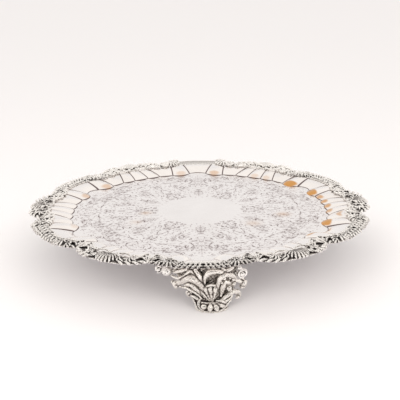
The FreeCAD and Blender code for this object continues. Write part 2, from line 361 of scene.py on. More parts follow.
    def strokes(self, inner, outer, pitch):
        """Short bent cuts over the whole ground, one at an uneven place in each cell of a grid, lighter at
        the long arcs."""
        steps = 24
        taper = np.sin(np.linspace(0.25, math.pi - 0.25, steps + 1))
        for k, radius in enumerate(np.arange(inner, outer, pitch)):
            count = max(int(math.radians(HALF) * radius / pitch), 1)
            for j in range(count):
                angle = HALF * (j + 0.25 + 0.5 * (k % 2) + self.random.uniform(-0.3, 0.3)) / count
                place = spot(radius + self.random.uniform(-0.35, 0.35) * pitch, angle)
                bend = self.random.choice((-1, 1)) * STROKE_BEND / STROKE
                points = bent_line(place, self.random.uniform(0, 360), np.full(steps, bend), STROKE / steps)
                depth = STROKE_DEPTH - STROKE_EASE * angle / HALF
                self.cuts.append((points, STROKE_WIDTH, depth * taper))

    def sprig(self, centre, heading, size):
        """Three leaf lobes from one root."""
        base = np.asarray(centre) - unit(heading) * size * 0.4
        self.lobe(base, heading, size, 30.0)
        self.lobe(base, heading + 55.0, size * 0.75, 50.0, False)
        self.lobe(base, heading - 55.0, size * 0.75, -50.0, False)


def draw_engraving():
    """The whole pattern, from the plain centre outwards. Later flowers and sprigs fit round what is there."""
    e = Engraving()
    # scrolls that bound the plain centre
    e.scroll(spot(41, 5), 74, 20, -5.0, -16, 16, leaves=5, side=-1)
    e.scroll(spot(50, 4), 50, 22, -5.0, -16, 16, leaves=5, side=-1)
    e.leaf(spot(38, 0), 0, 21, 0, lobes=5)
    e.leaf(spot(41, 30), 30, 22, 0, lobes=5)
    e.scroll(spot(52, 22), 70, 14, -3.0, 20, -30, leaves=3, side=1)
    # large scrolls in the middle of the pattern
    e.scroll(spot(62, 3), 30, 36, 3.2, -20, 24, leaves=6, side=1)
    e.scroll(spot(66, 26), 150, 26, -4.5, 16, -24, leaves=5, side=1)
    e.scroll(spot(75, 8), -20, 24, 5.5, 20, 18, leaves=4, side=-1)
    e.scroll(spot(84, 20), -60, 30, 6.0, 16, 20, leaves=6, side=-1)
    e.leaf(spot(75, 23), 100, 12, 40, lobes=3)
    e.leaf(spot(72, 10), 60, 13, -50, lobes=4)
    e.flower(spot(68, 17), 6.0, 5, 15)
    e.flower(spot(79, HALF), 10.5, 6, HALF)
    e.flower(spot(83, 0), 6.0, 5, 0)
    e.leaf(spot(90, 30), 30, 21, 0, lobes=5)
    e.leaf(spot(86, 25), 55, 15, -50, lobes=4)
    e.leaf(spot(88, 22), 10, 13, 60, lobes=4)
    # cartouches with trellis near the fluted edge
    e.trellis((101.0, 0.0), (8.0, 11.0), 2.3)
    e.scroll(spot(90, 5), 50, 32, -3.5, 22, -18, leaves=6, side=-1)
    e.scroll(spot(111, 9), 100, 20, 2.0, -20, 26, leaves=4, side=1)
    e.scroll(spot(103, 13), 20, 24, 4.5, 16, -26, leaves=5, side=1)
    e.scroll(spot(96, 20), 50, 24, -3.0, -22, 24, leaves=5, side=-1)
    e.leaf(spot(97, 14), -10, 12, 40, lobes=3)
    e.leaf(spot(104, 22), 0, 12, 30, lobes=4)
    e.fill(38.0, 113.0, 5.6)
    e.strokes(38.0, 114.0, 4.8)
    return e


def lobe_radius(offset, half, end, crest, shoulder=SHOULDER):
    """Distance from the tray's centre to a lobe's edge at angles from its crest, up to half."""
    return crest - (crest - end) * np.abs(offset / half) ** shoulder


def outline_radius(outline, degrees):
    """Radius of a twelve-lobe outline at angles from a shell's centre."""
    shell, notch, crest = outline
    away = np.abs((np.asarray(degrees, float) + HALF) % SECTOR - HALF)
    on_shell = lobe_radius(np.minimum(away, NOTCH), NOTCH, notch, shell)
    on_arc = lobe_radius(HALF - np.maximum(away, NOTCH), ARC_HALF, notch, crest)
    return np.where(away <= NOTCH, on_shell, on_arc)


def half_sector_columns():
    """For each column of the tray's mesh from a shell's centre to a long arc's crest: foot angle, foot
    radius, rim angle, place across its flute from -1 to 1, and the flute's bulge."""
    rows = []
    for (a0, r0, t0), (a1, r1, t1), (tip, bulge) in zip(CREASES, CREASES[1:], FLUTES):
        count = max(int(round(math.radians(a1 - a0) * 116.0 / FLAT_STEP / 2)) * 2, 4)
        for k in range(count):
            across = math.sin(math.pi / 2 * (2 * k / count - 1))
            foot = (r0 + r1) / 2 + (r1 - r0) / 2 * across
            radius = foot + (tip - (r0 + r1) / 2) * (1 - across**2) ** 0.8
            share = (across + 1) / 2
            rows.append((a0 + (a1 - a0) * share, radius, t0 + (t1 - t0) * share, across, bulge))
    table = np.array(rows)
    return table[(table[:, 0] >= -1e-6) & (table[:, 0] <= HALF + 1e-6)]


def full_columns():
    """The half sector's columns, mirrored and turned six times."""
    half = half_sector_columns()
    mirrored = half[-2:0:-1].copy()
    mirrored[:, 0] = SECTOR - mirrored[:, 0]
    mirrored[:, 2] = SECTOR - mirrored[:, 2]
    sector = np.vstack((half, mirrored))
    whole = []
    for k in range(SECTORS):
        turned = sector.copy()
        turned[:, 0] += SECTOR * k
        turned[:, 2] += SECTOR * k
        whole.append(turned)
    return np.vstack(whole)


def sample(depth, radius, degrees):
    """The engraving's depth at points of the flat centre."""
    away = np.radians(np.abs((degrees + HALF) % SECTOR - HALF))
    x = (radius * np.cos(away) - MAP_X[0]) / GRAIN
    y = (radius * np.sin(away) - MAP_Y[0]) / GRAIN
    x = np.clip(x, 0, depth.shape[0] - 1.001)
    y = np.clip(y, 0, depth.shape[1] - 1.001)
    i, j = x.astype(int), y.astype(int)
    u, v = x - i, y - j
    low = depth[i, j] * (1 - u) + depth[i + 1, j] * u
    high = depth[i, j + 1] * (1 - u) + depth[i + 1, j + 1] * u
    return (low * (1 - v) + high * v) * (radius > PLAIN_CENTRE)


def spots_by_column(spots, degrees):
    """How strong the painted copper-coloured reflection on each column's flute is."""
    strengths = np.zeros(len(degrees))
    for place, strength in spots.items():
        wide = round(place % SECTOR, 1) in WIDE_FLUTES
        away = np.abs((degrees - place + 180) % 360 - 180)
        strengths[away < (SPOT_WIDE if wide else SPOT_NARROW)] = strength
    return strengths


def painted_reflection_share(along, across, middle, strengths):
    """How strong the painted copper-coloured reflection is at one row of points across the flutes, from 0 to
    1.
    """
    reach = SPOT_GROWTH + SPOT_GROWTH * np.maximum(strengths, 1.0)
    shape = reach - ((along - middle) / SPOT_LENGTH) ** 2 - (across / SPOT_WIDTH) ** 2
    return np.clip(shape, 0, 1) * np.minimum(strengths, 1.0)


def stains(radius, degrees):
    """How strong the faint spots are at points of the flat."""
    x, y = radius * np.cos(np.radians(degrees)), radius * np.sin(np.radians(degrees))
    total = np.zeros(len(radius))
    for middle_x, middle_y, size, strength in STAINS:
        total += strength * np.exp(-((x - middle_x) ** 2 + (y - middle_y) ** 2) / size**2)
    return total


def polar(radius, degrees):
    angle = np.radians(degrees)
    return np.stack((radius * np.cos(angle), radius * np.sin(angle)), 1)


def tray_rows(depth):
    """Rings of points from the centre over the top, round the edge and back under, each with its mark and its
    copper tint, which is painted reflection on the flutes and stain on the flat."""
    foot_angle, foot, rim_angle, across, bulge = full_columns().T
    foot_xy = polar(foot, foot_angle)
    rim_xy = polar(outline_radius(FLUTE_TOPS, rim_angle), rim_angle)
    rings = []

    def ring(xy, height, mark=0.0, warm=0.0):
        rings.append(np.column_stack([xy] + [np.broadcast_to(v, len(xy)) for v in (height, mark, warm)]))

    # the flat
    inner = PLAIN_CENTRE / foot.mean()
    shares = np.append(np.linspace(0.03, inner, 9)[:-1], np.arange(inner, 1.0, FLAT_STEP / foot.mean()))
    for share in shares:
        radius = foot * share
        cut = sample(depth, radius, foot_angle) * np.clip((foot - radius) / PLAIN_MARGIN, 0, 1)
        ring(polar(radius, foot_angle), FLAT_TOP - CUT_DEPTH * cut, cut, stains(radius, foot_angle))
    # the flutes
    # painted shade, with some tarnish: dark creases between flutes and a dark line at their feet, eased round
    # one direction where light falls
    crease = np.clip((np.abs(across) - CREASE_START) / CREASE_FADE, 0, 1) * CREASE_MARK
    direction, spread, gone = FAINT_CREASES
    faint = 1 - gone * np.exp(-(((foot_angle - direction + 180) % 360 - 180) / spread) ** 2)
    low, high = spots_by_column(SPOTS, foot_angle), spots_by_column(HIGH_SPOTS, foot_angle)
    for k in range(FLUTE_ROWS + 1):
        t = (k / FLUTE_ROWS) ** 1.3
        swell = min(t / 0.16, 1.0) ** 0.6 * (1 - t**3)
        rise = (RIM_TOP - FLAT_TOP) * (1 - (1 - t) ** FLUTE_RISE)
        height = FLAT_TOP + rise + bulge * swell * (1 - across**2 * 0.999) ** 0.75
        mark = np.maximum(crease, max(0.0, 1 - t / 0.035)) * faint
        # copper-coloured painted reflections at the feet of the flutes and halfway up
        warm = np.maximum(painted_reflection_share(t, across, SPOT_CENTRE, low),
                          painted_reflection_share(t, across, HIGH_SPOT_CENTRE, high))
        ring(foot_xy * (1 - t) + rim_xy * t, height, mark, warm)
    # the rim's rounded edge
    edge = outline_radius(SHEET_EDGE, rim_angle)
    for inset, drop in ((RIM_ROUND, 0.0), (0.0, RIM_ROUND), (0.0, SHEET - RIM_ROUND), (RIM_ROUND, SHEET)):
        ring(polar(edge - inset, rim_angle), RIM_TOP - drop)
    # the underside
    for t in np.linspace(1.0, 0.0, 10):
        rise = (RIM_TOP - FLAT_TOP) * (1 - (1 - t) ** FLUTE_RISE)
        swell = bulge * 0.8 * math.sin(math.pi * t) * np.sqrt(1 - across**2 * 0.999)
        ring(foot_xy * (1 - t) + rim_xy * t, FLAT_TOP - SHEET + rise + swell)
    for share in (0.8, 0.55, 0.3, 0.03):
        ring(foot_xy * share, FLAT_TOP - SHEET)
    return np.array(rings)


def make_tray(depth):
    """The tray as rings of points joined into one closed skin."""
    rings = tray_rows(depth)
    rows, columns, _ = rings.shape
    points = rings[:, :, :3].reshape(-1, 3)
    marks = np.concatenate((rings[:, :, 3].reshape(-1), (0.0, 0.0)))
    warm = np.concatenate((rings[:, :, 4].reshape(-1), (0.0, 0.0)))
    ends = np.array(((0, 0, FLAT_TOP), (0, 0, FLAT_TOP - SHEET)))
    points = np.vstack((points, ends))
    here = np.arange(rows * columns).reshape(rows, columns)
    right = np.roll(here, -1, axis=1)
    quads = np.stack((here[:-1], here[1:], right[1:], right[:-1]), 2).reshape(-1, 4)
    first, last = rows * columns, rows * columns + 1
    fans = [(first, a, b) for a, b in zip(here[0], right[0])]
    fans += [(last, b, a) for a, b in zip(here[-1], right[-1])]
    return make_mesh("tray_sheet", points, quads.tolist() + fans, mark=marks, warm=warm)


def make_mesh(name, points, faces, **numbers):
    """A mesh from points in mm, with numbers on each point that its material reads."""
    mesh = bpy.data.meshes.new(name)
    mesh.from_pydata((np.asarray(points) * MM).tolist(), [], faces)
    mesh.update()
    for key, values in numbers.items():
        add_numbers(mesh, key, values)
    mesh.shade_smooth()
    return mesh


def add_numbers(mesh, key, values):
    layer = mesh.attributes.new(key, "FLOAT", "POINT")
    layer.data.foreach_set("value", np.asarray(values, np.float32))


class Casting:
    """Closed shapes, in mm, that overlap and are fused into one mesh."""

    def __init__(self):
        self.points = []
        self.faces = []

    def add_rings(self, rings):
        """A closed shape from rings of points, with a fan over each end."""
        rings = np.asarray(rings, float)
        rows, columns, _ = rings.shape
        start = sum(len(p) for p in self.points)
        middles = np.stack((rings[0].mean(0), rings[-1].mean(0)))
        self.points.append(np.vstack((rings.reshape(-1, 3), middles)))
        here = np.arange(rows * columns).reshape(rows, columns) + start
        right = np.roll(here, -1, axis=1)
        quads = np.stack((here[:-1], right[:-1], right[1:], here[1:]), 2).reshape(-1, 4)
        first, last = start + rows * columns, start + rows * columns + 1
        self.faces += quads.tolist()
        self.faces += [(first, int(b), int(a)) for a, b in zip(here[0], right[0])]
        self.faces += [(last, int(a), int(b)) for a, b in zip(here[-1], right[-1])]

    def tube(self, path, radii, up=UP, flat=1.0, sides=12):
        """A round bar along a path. Its ends are rounded off."""
        path, radii = ends_rounded(np.asarray(path, float), radii)
        side, top = frames(path, up)
        angle = np.linspace(0, 2 * math.pi, sides, endpoint=False)
        cos, sin = np.cos(angle)[None, :, None], np.sin(angle)[None, :, None]
        ring = cos * side[:, None] + flat * sin * top[:, None]
        self.add_rings(path[:, None] + ring * radii[:, None, None])

    def ball(self, centre, radii):
        """A ball, or an egg with three radii."""
        centre = np.asarray(centre, float)
        radii = np.broadcast_to(np.asarray(radii, float), (3,))
        polar_angle = np.linspace(0.12, math.pi - 0.12, 10)
        around = np.linspace(0, 2 * math.pi, 16, endpoint=False)
        p, q = np.meshgrid(polar_angle, around, indexing="ij")
        sphere = np.stack((np.sin(p) * np.cos(q), np.sin(p) * np.sin(q), -np.cos(p)), 2)
        self.add_rings(centre + sphere * radii)

    def volute(self, centre, radius, bar, normal, start, turns=1.4, hand=1):
        """A bar wound up in its own plane, ending in a round eye."""
        centre, normal = np.asarray(centre, float), np.asarray(normal, float)
        normal = normal / np.linalg.norm(normal)
        across = np.cross(normal, (0.0, 0.0, 1.0) if abs(normal[2]) < 0.8 else (1.0, 0.0, 0.0))
        across /= np.linalg.norm(across)
        other = np.cross(normal, across)
        s = np.linspace(0, 1, int(26 * turns))
        angle = math.radians(start) + hand * s * turns * 2 * math.pi
        reach = radius * (1 - 0.78 * s)
        path = centre + (np.cos(angle) * reach)[:, None] * across + (np.sin(angle) * reach)[:, None] * other
        path = path + (normal * bar * 0.9) * s[:, None]
        self.tube(path, bar * (1 - 0.25 * s), up=normal)
        self.ball(centre + normal * bar * 0.8, bar * 1.15)

    def fused(self, name, voxel, smooth=3, outward=0.0):
        """One mesh from everything added, with its recesses marked, and its outward faces too by a share: the
        marks darken the recesses, partly as tarnish and partly as painted shade, and the outward faces as
        painted shade.
        """
        rough = make_mesh(name + "_rough", np.vstack(self.points), self.faces)
        carrier = bpy.data.objects.new(name + "_rough", rough)
        bpy.context.scene.collection.objects.link(carrier)
        remesh = carrier.modifiers.new("fuse", "REMESH")
        remesh.mode = "VOXEL"
        remesh.voxel_size = voxel * MM
        relax = carrier.modifiers.new("relax", "SMOOTH")
        relax.factor = 0.5
        relax.iterations = smooth
        bpy.context.view_layer.update()
        mesh = bpy.data.meshes.new_from_object(carrier.evaluated_get(bpy.context.evaluated_depsgraph_get()))
        mesh.name = name
        bpy.data.objects.remove(carrier)
        bpy.data.meshes.remove(rough)
        mesh.shade_smooth()
        chase(mesh)
        mark_recesses(mesh, voxel, outward)
        return mesh


def resample(path, count):
    """The same path with points evenly spaced."""
    run = np.concatenate(((0.0,), np.cumsum(np.linalg.norm(np.diff(path, axis=0), axis=1))))
    wanted = np.linspace(0, run[-1], count)
    return np.stack([np.interp(wanted, run, path[:, k]) for k in range(3)], 1)


def curve(*knots, count=30):
    """A smooth path through the given points (Catmull-Rom)."""
    knots = np.asarray(knots, float)
    knots = np.vstack((2 * knots[0] - knots[1], knots, 2 * knots[-1] - knots[-2]))
    path = []
    for k in range(1, len(knots) - 2):
        a, b, c, d = knots[k - 1:k + 3]
        for s in np.linspace(0, 1, 12, endpoint=False):
            path.append(0.5 * (2 * b + (c - a) * s + (2 * a - 5 * b + 4 * c - d) * s**2
                               + (3 * b - a - 3 * c + d) * s**3))
    path.append(knots[-2])
    return resample(np.array(path), count)


def ends_rounded(path, radii):
    """Closes a bar's ends with half a ball each."""
    radii = np.broadcast_to(np.asarray(radii, float), (len(path),)).copy()
    first, last = path[0] - path[1], path[-1] - path[-2]
    first, last = first / np.linalg.norm(first), last / np.linalg.norm(last)
    caps = ((0.97, 0.25), (0.8, 0.6), (0.5, 0.87))
    before = [path[0] + first * radii[0] * c for c, _ in caps]
    after = [path[-1] + last * radii[-1] * c for c, _ in reversed(caps)]
    sizes = [radii[0] * s for _, s in caps] + list(radii) + [radii[-1] * s for _, s in reversed(caps)]
    return np.vstack((before, path, after)), np.array(sizes)


def frames(path, up):
    """Sideways and upward unit vectors along a path. up may be one vector or one for each point."""
    along = np.gradient(path, axis=0)
    along /= np.linalg.norm(along, axis=1)[:, None] + 1e-12
    up = np.broadcast_to(np.asarray(up, float), path.shape)
    side = np.cross(along, up)
    side /= np.linalg.norm(side, axis=1)[:, None] + 1e-12
    return side, np.cross(side, along)


def vertex_vectors(mesh, key):
    """One vector for each of a mesh's vertices, such as its place or its normal."""
    values = np.empty(len(mesh.vertices) * 3)
    mesh.vertices.foreach_get(key, values)
    return values.reshape(-1, 3)


def chase(mesh):
    """Raises and sinks a casting's surface a little, in grains about as wide as a chaser's punch."""
    points = vertex_vectors(mesh, "co")
    random = np.random.default_rng(3)
    grain = np.zeros(len(points))
    for _ in range(CHASING_WAVES):
        way = random.normal(size=3)
        way *= 2 * math.pi / (CHASING_GRAIN * random.uniform(0.7, 1.5) * MM) / np.linalg.norm(way)
        grain += np.sin(points @ way + random.uniform(0, 2 * math.pi))
    grain *= CHASING_DEPTH * MM / math.sqrt(CHASING_WAVES / 2)
    points += grain[:, None] * vertex_vectors(mesh, "normal")
    mesh.vertices.foreach_set("co", points.reshape(-1))
    mesh.update()


def mark_recesses(mesh, voxel, outward):
    """Marks each point by how far it lies below the surface round it, from 0 on ridges to 1 in hollows, and
    more where it faces away from the tray's axis. The dark this gives hollows is partly tarnish and partly
    painted shade; on the outward faces it is painted shade."""
    points = vertex_vectors(mesh, "co") / MM
    normal = vertex_vectors(mesh, "normal")
    count = len(points)
    edges = np.empty(len(mesh.edges) * 2, np.int64)
    mesh.edges.foreach_get("vertices", edges)
    a, b = edges.reshape(-1, 2).T
    degree = np.bincount(a, minlength=count) + np.bincount(b, minlength=count)
    soft = points.copy()
    for _ in range(int((RECESS_REACH / voxel) ** 2)):
        total = np.stack([np.bincount(a, soft[b, k], count) + np.bincount(b, soft[a, k], count)
                          for k in range(3)], 1)
        soft = 0.3 * soft + 0.7 * total / np.maximum(degree, 1)[:, None]
    below = ((soft - points) * normal).sum(1)
    lowest, highest = np.percentile(below, RECESS_EXTREMES)
    away = points[:, :2] / np.linalg.norm(points[:, :2], axis=1)[:, None]
    facing = (normal[:, :2] * away).sum(1)
    mark = np.clip((below - lowest) / (highest - lowest) + outward * facing, 0, 1)
    add_numbers(mesh, "mark", mark)


def band_point(section, along, across, height):
    """A point of a border section: along from -1 to 1 between its notches, across from 0 inside to 1 outside.
    The section's crest lies on +X."""
    half = NOTCH if section == "shell" else ARC_HALF
    crest = 0 if section == "shell" else 2
    crests = FOOT_ARC if section == "foot_arc" else (BORDER_INSIDE[crest], BORDER_OUTSIDE[crest])
    shoulder = FOOT_ARC_SHOULDER if section == "foot_arc" else SHOULDER
    inside, outside = [lobe_radius(along * half, half, outline[1], top, shoulder)
                       for outline, top in zip((BORDER_INSIDE, BORDER_OUTSIDE), crests)]
    radius = inside * (1 - across) + outside * across
    angle = math.radians(along * half)
    return (radius * math.cos(angle), radius * math.sin(angle), RIM_TOP + height)


def band_curve(section, *knots, count=30):
    """A smooth path over a border section, through (along, across, height) knots."""
    plain = curve(*[(a * BAND_LENGTH, c * BAND_WIDTH, h) for a, c, h in knots], count=count)
    return np.array([band_point(section, a / BAND_LENGTH, c / BAND_WIDTH, h) for a, c, h in plain])


def band_ground(casting, section, rise=1.0):
    """The ground of a border section, a thin plate with a low crown."""
    profile = ((0.03, -0.1), (0.05, 0.4), (0.16, 0.8), (0.4, 1.0), (0.7, 1.0), (0.84, 0.9), (0.91, 0.5),
               (0.9, -0.1), (0.8, -0.3), (0.4, -0.3))
    casting.add_rings([[band_point(section, a, c, h * rise) for c, h in profile]
                       for a in np.linspace(-0.99, 0.99, 60)])


def rib(casting, section, side, knots, root, tip, flat=1.1):
    """One tapered rib through (along, across, height) knots, thickest four fifths of the way along."""
    path = band_curve(section, *[(side * a, c, h) for a, c, h in knots], count=26)
    radii = np.interp(np.linspace(0, 1, 26), (0, 0.3, 0.82, 1), (root, (root + tip) / 2, tip, tip * 0.75))
    casting.tube(path, radii, flat=flat, sides=10)


def spray(casting, section, side, root, ends, bow, thick=0.62, lift=2.0):
    """Ribs that leave one point together and part towards their own ends, like half a palmette."""
    scale = np.array((BAND_LENGTH, BAND_WIDTH))
    start = np.array(root) * scale
    for a, c in ends:
        run = np.array((a, c)) * scale - start
        across = np.array((-run[1], run[0])) * bow
        early, late = (start + run * 0.3 + across * 0.8) / scale, (start + run * 0.66 + across) / scale
        rib(casting, section, side, ((*root, 0.9), (*early, lift * 0.95), (*late, lift), (a, c, 1.2)),
            thick * 0.6, thick)


def notch_leaf(casting, section, side, tail, count=3):
    """Nested ribs that leave the point between two sections, sweep inwards and turn back along the border."""
    for k in range(count):
        s = k / (count - 1)
        knots = ((0.995 - 0.02 * s, 1.0 - 0.16 * s, 1.0), (0.975 - 0.06 * s, 0.6, 1.9),
                 (0.94 - 0.1 * s, 0.34 * s, 2.2), (0.86 - 0.1 * s, -0.2 + 0.46 * s, 2.1),
                 (tail, 0.44 * s, 1.3))
        rib(casting, section, side, knots, 0.55, 0.85)


def fan(casting, hinge, reach, spread, count, root, tip):
    """A scallop shell: ribs that fan out from its hinge to the border's edge."""
    for k in range(count):
        turn = math.radians(spread * (2 * k / (count - 1) - 1))
        length = reach * (0.5 + 0.5 * math.cos(turn) ** 0.8)
        way = np.array((math.cos(turn), math.sin(turn), 0.0))
        heights = ((0.0, 0.2), (0.35, 1.0), (0.72, 1.1), (0.95, 0.1), (1.02, -0.5))
        path = curve(*[hinge + way * length * s + np.array((0, 0, h)) for s, h in heights], count=30)
        radii = np.interp(np.linspace(0, 1, 30), (0, 0.25, 0.7, 1), (root, root * 1.5, tip, tip * 0.8))
        casting.tube(path, radii, flat=1.2, sides=10)


def edge_leaves(casting, section, places, length, slant, thick):
    """Long leaf tips that follow one another along the outer edge on both sides of the section's crest, each
    lying over the next one's root."""
    for side in (-1, 1):
        for a in places:
            tip = ((a, 0.74 - slant, 1.2), (a + length * 0.5, 0.9, 1.9), (a + length, 1.02, 1.1))
            rib(casting, section, side, tip, thick * 0.6, thick, 1.0)


def curl(casting, section, side, a):
    """A leaf that crosses the band slantwise, with a small volute in the bend and leaflets on its back."""
    casting.volute(band_point(section, side * (a + 0.025), 0.3, 1.8), 1.2, 0.42, UP, 90.0, hand=side)
    ribs = (
        (((0.01, 0.02, 1.3), (0.07, 0.24, 2.0), (0.04, 0.52, 2.1), (0.08, 0.84, 1.6)), 0.5, 0.75),
        (((0.06, 0.36, 1.6), (0.09, 0.44, 2.0), (0.115, 0.58, 1.4)), 0.4, 0.55),
        (((0.045, 0.5, 1.6), (0.01, 0.62, 2.0), (-0.005, 0.78, 1.4)), 0.4, 0.6),
        (((0.09, 0.1, 1.2), (0.105, 0.2, 1.7), (0.11, 0.32, 1.3)), 0.4, 0.55),
    )
    for knots, root, tip in ribs:
        placed = [(a + along, across, height) for along, across, height in knots]
        rib(casting, section, side, placed, root, tip)


def star(casting, centre, radius, petals=6):
    """A small flower of pointed petals."""
    for k in range(petals):
        turn = 2 * math.pi * k / petals
        way = np.array((math.cos(turn), math.sin(turn), 0.0))
        heights = ((0.2, 0.5), (0.6, 0.8), (1.0, 0.1))
        path = [centre + way * radius * s + np.array((0, 0, h)) for s, h in heights]
        casting.tube(path, (0.5, 0.75, 0.35), sides=8)
    casting.ball(centre + np.array((0, 0, 0.8)), 0.7)


def make_border_shell_mesh():
    """A scallop shell between scrolls and half palmettes."""
    casting = Casting()
    band_ground(casting, "shell")
    hinge = np.array((138.6, 0.0, RIM_TOP + 1.6))
    fan(casting, hinge, 12.6, 70.0, 11, 0.4, 1.3)
    casting.ball(hinge + np.array((-0.8, 0, 0.5)), (1.2, 1.6, 0.9))
    for side in (-1, 1):
        casting.volute(band_point("shell", side * 0.13, 0.02, 1.8), 1.5, 0.5, UP, 90.0 * side, hand=side)
        scroll = ((0.15, -0.12, 1.2), (0.3, -0.12, 1.9), (0.46, 0.02, 2.0), (0.55, 0.3, 1.9),
                  (0.5, 0.52, 1.8))
        rib(casting, "shell", side, scroll, 0.6, 0.7)
        casting.volute(band_point("shell", side * 0.47, 0.5, 1.9), 1.3, 0.45, UP, 200.0, hand=-side)
        spray(casting, "shell", side, (0.24, 0.16), ((0.37, 0.84), (0.44, 0.68)), 0.12, 0.75)
        spray(casting, "shell", side, (0.52, 0.2), ((0.56, 0.8), (0.64, 0.76), (0.71, 0.56)), 0.1, 0.85)
        spray(casting, "shell", side, (0.5, -0.04), ((0.62, -0.1), (0.71, 0.1)), 0.12, 0.75)
        notch_leaf(casting, "shell", side, 0.66)
        casting.ball(band_point("shell", side * 0.66, 0.4, 2.0), 0.8)
        casting.ball(band_point("shell", side * 0.36, 0.3, 1.8), 0.7)
    edge_leaves(casting, "shell", (0.34, 0.5, 0.66, 0.8), 0.17, 0.0, 1.15)
    return casting.fused("border_shell_mesh", BORDER_VOXEL, 2, BORDER_OUTWARD_SHADE["shell"])


def make_border_arc_mesh(section, plain=False):
    """A long arc with rows of leaf tips and beads between two clusters of leaves. A plain one has only a thin
    moulding between the clusters."""
    casting = Casting()
    band_ground(casting, section, 0.55 if plain else 1.0)
    over_foot = section == "foot_arc"
    if plain:
        rib(casting, section, 1, ((-0.5, 0.93, 0.4), (0.0, 0.93, 0.4), (0.5, 0.93, 0.4)), 0.6, 0.6)
    count = 12
    for k in range(count if over_foot else 0):
        a = 0.27 * (2 * k / (count - 1) - 1)
        rib(casting, section, 1, ((a, 0.06, 1.4), (a, 0.14, 1.9), (a, 0.24, 1.5)), 0.66, 0.7)
    for side in (-1, 1):
        for a in () if plain else (0.33, 0.45) if over_foot else (0.03, 0.15, 0.27, 0.39):
            curl(casting, section, side, a)
        for a in (0.0, 0.08, 0.16, 0.24) if over_foot else ():
            knots = ((a, 0.36, 1.3), (a + 0.04, 0.5, 2.0), (a + 0.06, 0.7, 1.5))
            rib(casting, section, side, knots, 0.6, 0.95)
    edge = () if plain else (0.01, 0.1, 0.19, 0.28, 0.37)
    edge_leaves(casting, section, edge, 0.085, -0.04, 1.0)
    reach = 0.9 if over_foot else 1.0
    for side in (-1, 1):
        star(casting, np.array(band_point(section, side * 0.59, 0.2 if over_foot else 0.5, 2.2)), 3.0)
        casting.volute(band_point(section, side * 0.49, 0.2, 1.9), 1.7, 0.65, UP, 90.0, hand=-side)
        outer = [(a, c * reach) for a, c in ((0.46, 1.0), (0.54, 1.1), (0.62, 1.12), (0.70, 1.04))]
        inner = ((0.54, -0.1), (0.63, -0.2), (0.72, -0.18))
        spray(casting, section, side, (0.58, 0.56), outer, -0.1, 0.95, 2.7 * reach)
        spray(casting, section, side, (0.62, 0.4), inner, 0.1, 0.85, 2.5)
        spray(casting, section, side, (0.68, 0.56), ((0.78, 0.98), (0.84, 0.8)), -0.12, 0.85)
        notch_leaf(casting, section, side, 0.76)
        casting.ball(band_point(section, side * 0.76, 0.44, 2.2), 1.2)
        casting.ball(band_point(section, side * 0.47, 0.62, 2.0), 1.1)
    edge_leaves(casting, section, (0.76, 0.86), 0.1, 0.0, 0.9)
    name = "plain" if plain else section
    return casting.fused(f"border_{name}_mesh", BORDER_VOXEL, 2, BORDER_OUTWARD_SHADE[section])


def foot_front(x, z, lift=0.0):
    """A point on the face of the foot at -Y, lifted off it towards the front."""
    heights = (0.0, 3.0, 9.0, 16.0, 24.0, 32.0, 44.0)
    front = np.interp(z, heights, (126.0, 126.4, 124.2, 123.6, 125.0, 127.0, 129.0))
    bend = np.interp(z, heights, (0.028, 0.025, 0.021, 0.016, 0.0115, 0.0105, 0.009))
    middle = np.interp(z, heights, (6.5, 6.5, 6.5, 5.0, 3.0, 1.6, 1.0))
    return (x, -front + bend * (x - middle) ** 2 - lift, z)


def foot_curve(*knots, count=30):
    """A smooth path over the foot's face, through (x, z, lift) knots."""
    plain = curve(*knots, count=count)
    return np.array([foot_front(x, z, lift) for x, z, lift in plain])


def fold(casting, knots, root, middle, tip):
    """One fat fold of a leaf on the foot's face, through (x, z, lift) knots."""
    path = foot_curve(*knots, count=36)
    radii = np.interp(np.linspace(0, 1, 36), (0, 0.55, 0.9, 1), (root, middle, tip, tip * 0.8))
    casting.tube(path, radii, FOOT_OUT, 0.9)


